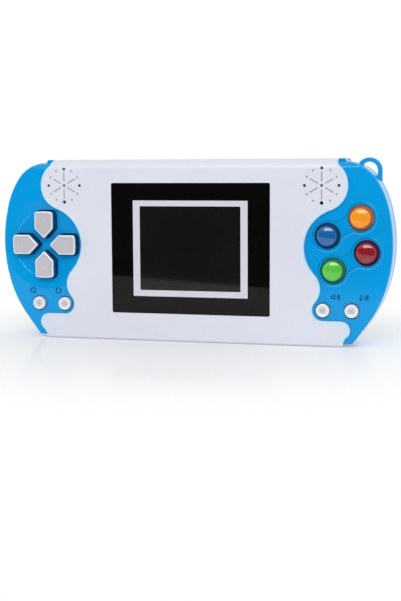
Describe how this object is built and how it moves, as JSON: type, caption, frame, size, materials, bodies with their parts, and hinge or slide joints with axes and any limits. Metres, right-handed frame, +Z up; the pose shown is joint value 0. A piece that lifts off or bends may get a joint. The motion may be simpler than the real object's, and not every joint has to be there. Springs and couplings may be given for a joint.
{
  "type": "handheld game console",
  "caption": "Handheld game console with a colour screen, direction keys, action buttons, small round buttons, speakers, a sliding battery door and a strap loop.",
  "frame": {"origin": "middle of the flat bottom edge of the case, halfway through its thickness", "axes": "+X to the right of someone who faces the screen, +Y from the screen to the back, +Z up along the case's short side"},
  "size_m": [0.1562, 0.0222, 0.0712],
  "materials": {
    "white_shell": "smooth white ABS",
    "blue_shell": "smooth sky blue ABS",
    "blue_rear": "smooth sky blue ABS",
    "lens_black": "polished acrylic, printed black behind",
    "key_silver": "satin silver paint",
    "small_button_white": "smooth white ABS",
    "button_blue": "clear tinted plastic",
    "button_orange": "clear tinted plastic",
    "button_red": "clear tinted plastic",
    "button_green": "clear tinted plastic",
    "mat_rubber": "soft silicone",
    "lcd_glass": "polished",
    "lcd_frame": "moulded",
    "gasket_foam": "closed foam",
    "ribbon_film": "polyimide film",
    "board_green": "solder mask",
    "chip_resin": "cast resin",
    "capacitor_can": "sleeved can",
    "speaker_metal": "pressed",
    "screw_steel": "zinc plated",
    "contact_steel": "nickel plated spring steel",
    "cell_wrap": "plain dark sleeve over steel"
  },
  "bodies": {
    "case": {"front_cover": "white_shell", "front_shell": "blue_shell", "rear_shell": "blue_rear", "strap_loop": "blue_rear", "screen_lens": "lens_black", "lcd_gasket": "gasket_foam", "lcd_glass": "lcd_glass", "lcd_backlight": "lcd_frame", "lcd_ribbon": "ribbon_film", "main_board": "board_green", "game_chip": "chip_resin", "capacitors": "capacitor_can", "battery_cells": "cell_wrap", "battery_plates": "contact_steel", "battery_springs": "contact_steel", "case_screws": "screw_steel", "board_screws": "screw_steel", "left_key_mat": "mat_rubber", "right_key_mat": "mat_rubber", "left_speaker": "speaker_metal", "right_speaker": "speaker_metal"},
    "battery_door": {"battery_door": "blue_rear"},
    "direction_key_up": {"direction_key_up": "key_silver"},
    "direction_key_left": {"direction_key_left": "key_silver"},
    "direction_key_down": {"direction_key_down": "key_silver"},
    "direction_key_right": {"direction_key_right": "key_silver"},
    "action_button_left": {"action_button_left": "button_blue"},
    "action_button_top": {"action_button_top": "button_orange"},
    "action_button_bottom": {"action_button_bottom": "button_green"},
    "action_button_right": {"action_button_right": "button_red"},
    "power_button": {"power_button": "small_button_white"},
    "reset_button": {"reset_button": "small_button_white"},
    "sound_button": {"sound_button": "small_button_white"},
    "start_button": {"start_button": "small_button_white"}
  },
  "joints": [
    {"name": "battery_door_slide", "type": "slide", "parent": "case", "child": "battery_door", "axis": [0, 0, 1], "range_m": [0, 0.036]},
    {"name": "direction_key_up_press", "type": "slide", "parent": "case", "child": "direction_key_up", "axis": [0, 1, 0], "range_m": [0, 0.001], "stiffness_N_per_m": 500, "springref_m": -0.0005, "deforming": ["left_key_mat"]},
    {"name": "direction_key_left_press", "type": "slide", "parent": "case", "child": "direction_key_left", "axis": [0, 1, 0], "range_m": [0, 0.001], "stiffness_N_per_m": 500, "springref_m": -0.0005, "deforming": ["left_key_mat"]},
    {"name": "direction_key_down_press", "type": "slide", "parent": "case", "child": "direction_key_down", "axis": [0, 1, 0], "range_m": [0, 0.001], "stiffness_N_per_m": 500, "springref_m": -0.0005, "deforming": ["left_key_mat"]},
    {"name": "direction_key_right_press", "type": "slide", "parent": "case", "child": "direction_key_right", "axis": [0, 1, 0], "range_m": [0, 0.001], "stiffness_N_per_m": 500, "springref_m": -0.0005, "deforming": ["left_key_mat"]},
    {"name": "action_button_left_press", "type": "slide", "parent": "case", "child": "action_button_left", "axis": [0, 1, 0], "range_m": [0, 0.001], "stiffness_N_per_m": 500, "springref_m": -0.0005, "deforming": ["right_key_mat"]},
    {"name": "action_button_top_press", "type": "slide", "parent": "case", "child": "action_button_top", "axis": [0, 1, 0], "range_m": [0, 0.001], "stiffness_N_per_m": 500, "springref_m": -0.0005, "deforming": ["right_key_mat"]},
    {"name": "action_button_bottom_press", "type": "slide", "parent": "case", "child": "action_button_bottom", "axis": [0, 1, 0], "range_m": [0, 0.001], "stiffness_N_per_m": 500, "springref_m": -0.0005, "deforming": ["right_key_mat"]},
    {"name": "action_button_right_press", "type": "slide", "parent": "case", "child": "action_button_right", "axis": [0, 1, 0], "range_m": [0, 0.001], "stiffness_N_per_m": 500, "springref_m": -0.0005, "deforming": ["right_key_mat"]},
    {"name": "power_button_press", "type": "slide", "parent": "case", "child": "power_button", "axis": [0, 1, 0], "range_m": [0, 0.001], "stiffness_N_per_m": 500, "springref_m": -0.0005, "deforming": ["left_key_mat"]},
    {"name": "reset_button_press", "type": "slide", "parent": "case", "child": "reset_button", "axis": [0, 1, 0], "range_m": [0, 0.001], "stiffness_N_per_m": 500, "springref_m": -0.0005, "deforming": ["left_key_mat"]},
    {"name": "sound_button_press", "type": "slide", "parent": "case", "child": "sound_button", "axis": [0, 1, 0], "range_m": [0, 0.001], "stiffness_N_per_m": 500, "springref_m": -0.0005, "deforming": ["right_key_mat"]},
    {"name": "start_button_press", "type": "slide", "parent": "case", "child": "start_button", "axis": [0, 1, 0], "range_m": [0, 0.001], "stiffness_N_per_m": 500, "springref_m": -0.0005, "deforming": ["right_key_mat"]}
  ]
}
